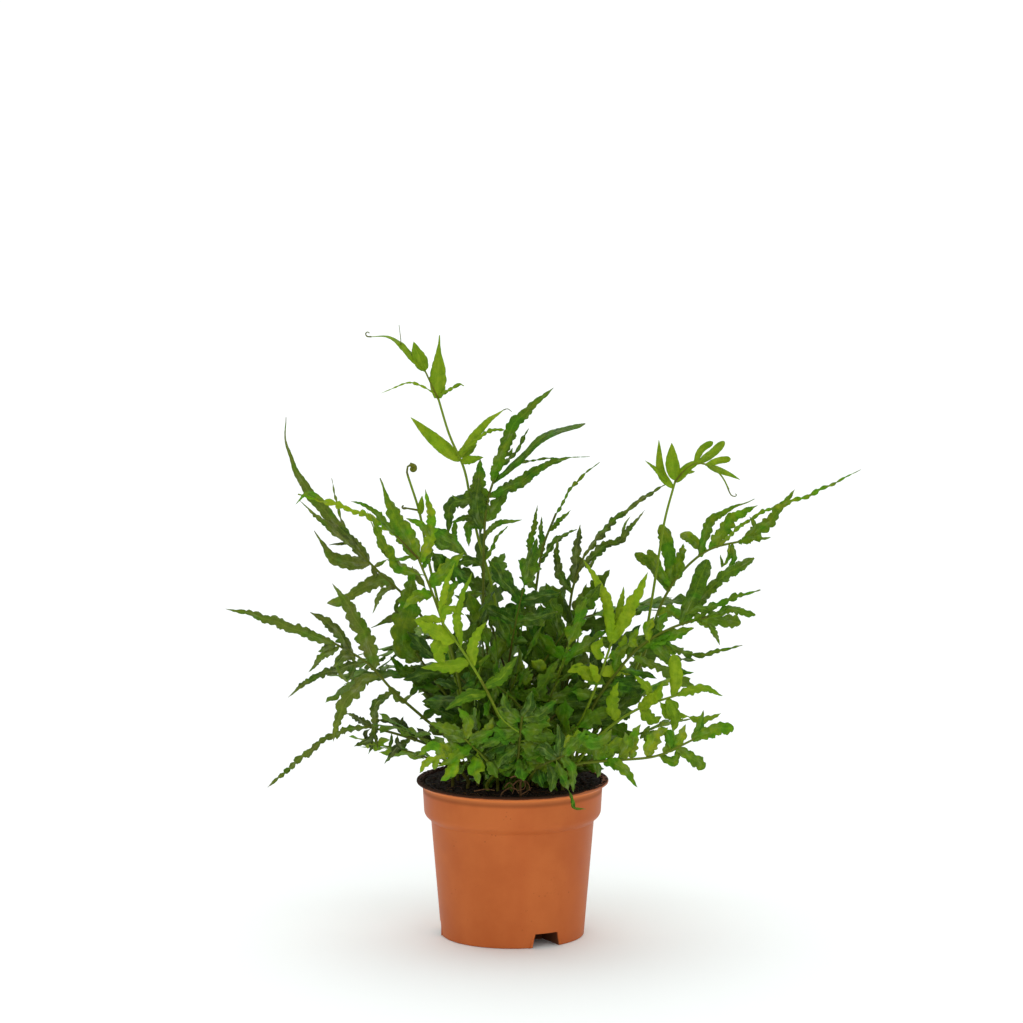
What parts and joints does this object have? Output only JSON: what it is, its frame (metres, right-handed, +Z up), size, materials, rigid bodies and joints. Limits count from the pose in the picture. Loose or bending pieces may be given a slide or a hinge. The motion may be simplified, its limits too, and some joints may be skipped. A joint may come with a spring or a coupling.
{
  "type": "potted brake fern",
  "caption": "Fern with long waved, lobed leaflets on slender stipes, standing in dark soil in a tapered plastic nursery pot.",
  "frame": {"origin": "centre of the underside of the pot, on the surface it stands on", "axes": "+Z up along the pot's axis, -Y towards the side that the picture shows, +X to its right"},
  "size_m": [0.3948, 0.2675, 0.3749],
  "materials": {
    "pot": "terracotta-coloured injection-moulded plastic, satin, a little dusty",
    "soil": "dark brown damp peat compost, crumbly",
    "frond": "dark green leathery leaf with a soft sheen and a paler midrib",
    "young_frond": "light yellow-green young leaf, thin and slightly translucent",
    "old_stipe": "dry light brown stalk"
  },
  "bodies": {
    "root": {"frond_back_01": "frond", "frond_back_02": "frond", "frond_back_03": "frond", "frond_back_04": "frond", "frond_back_05": "frond", "frond_back_06": "frond", "frond_back_07": "frond", "frond_centre_right": "frond", "frond_crozier": "young_frond", "frond_dark_right": "frond", "frond_front_bright": "young_frond", "frond_front_left": "frond", "frond_front_low": "frond", "frond_front_rim": "frond", "frond_inner_01": "frond", "frond_inner_02": "frond", "frond_inner_03": "frond", "frond_inner_04": "frond", "frond_inner_05": "frond", "frond_inner_06": "frond", "frond_inner_07": "frond", "frond_inner_08": "frond", "frond_left_dark": "frond", "frond_left_long": "frond", "frond_left_low": "frond", "frond_left_reaching": "frond", "frond_left_upper": "frond", "frond_lower_01": "frond", "frond_lower_02": "frond", "frond_lower_03": "frond", "frond_lower_04": "frond", "frond_lower_05": "frond", "frond_lower_06": "frond", "frond_near_01": "frond", "frond_near_02": "frond", "frond_near_03": "frond", "frond_near_04": "frond", "frond_near_05": "frond", "frond_near_06": "frond", "frond_near_07": "frond", "frond_near_08": "frond", "frond_near_09": "frond", "frond_right_light": "young_frond", "frond_right_long": "frond", "frond_right_middle": "frond", "frond_right_trailing": "frond", "frond_skirt_01": "frond", "frond_skirt_02": "frond", "frond_skirt_03": "frond", "frond_skirt_04": "frond", "frond_skirt_05": "frond", "frond_skirt_06": "frond", "frond_skirt_07": "frond", "frond_tall_centre": "frond", "frond_top_crown": "young_frond", "frond_yellow_green": "young_frond", "frond_young_right": "young_frond", "old_stipe": "old_stipe", "pot": "pot", "soil": "soil"}
  },
  "joints": []
}
